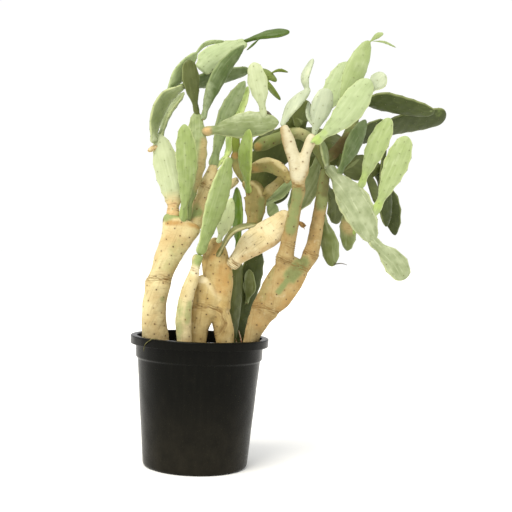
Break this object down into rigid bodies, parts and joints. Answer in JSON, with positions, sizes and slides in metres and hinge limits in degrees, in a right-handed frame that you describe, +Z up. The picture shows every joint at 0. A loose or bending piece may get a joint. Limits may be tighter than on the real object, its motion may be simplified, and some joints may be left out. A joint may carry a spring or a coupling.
{
  "type": "potted indian fig cactus",
  "caption": "Old indian fig cactus in a black nursery pot: leaning corky trunks carry a wide spread of long, flat, jointed green pads dotted with areoles.",
  "frame": {"origin": "centre of the pot's underside, on the surface that it stands on", "axes": "+Z up, +X to the right seen from the front, where the longest pads reach, -Y the front"},
  "size_m": [0.704, 0.3538, 0.9618],
  "materials": {
    "pot": "satin",
    "soil": "matte",
    "cork": "matte",
    "cream": "matte",
    "grey": "matte",
    "pale": "matte",
    "light": "satin",
    "fresh": "satin",
    "deep": "satin",
    "dark": "matte"
  },
  "bodies": {
    "root": {"bough_pale": "cream", "branch_cross": "cork", "branch_slant": "cream", "branch_stub": "cork", "pad_back_broad": "grey", "pad_back_left": "deep", "pad_back_oval": "dark", "pad_back_slant": "grey", "pad_back_small": "dark", "pad_back_tall": "deep", "pad_far_lower": "dark", "pad_far_small": "dark", "pad_far_upper": "dark", "pad_fork_left": "pale", "pad_fork_right": "pale", "pad_hang_budded": "dark", "pad_hang_inner": "dark", "pad_hang_left": "dark", "pad_hang_olive": "dark", "pad_hang_outer": "deep", "pad_left_arch": "grey", "pad_left_club": "dark", "pad_left_front": "fresh", "pad_left_narrow": "light", "pad_left_old": "grey", "pad_left_outer": "grey", "pad_left_pale": "pale", "pad_mid_arched": "cork", "pad_mid_bright": "deep", "pad_mid_edge": "pale", "pad_mid_folded": "cork", "pad_mid_grey": "grey", "pad_mid_level": "grey", "pad_mid_light": "light", "pad_mid_long": "light", "pad_mid_low": "pale", "pad_mid_young": "fresh", "pad_right_broad": "grey", "pad_right_dark": "dark", "pad_right_end": "light", "pad_right_front": "light", "pad_right_high": "light", "pad_right_inner": "light", "pad_right_light": "light", "pad_right_olive": "dark", "pad_right_outer": "light", "pad_right_short": "light", "pad_right_slim": "grey", "pad_top_back": "dark", "pad_top_bright": "fresh", "pad_top_broad": "light", "pad_top_curved": "dark", "pad_top_pale": "pale", "pad_top_peak": "deep", "pot": "pot", "soil": "soil", "trunk_front": "pale", "trunk_left": "cork", "trunk_middle": "cork", "trunk_right": "cork"}
  },
  "joints": []
}
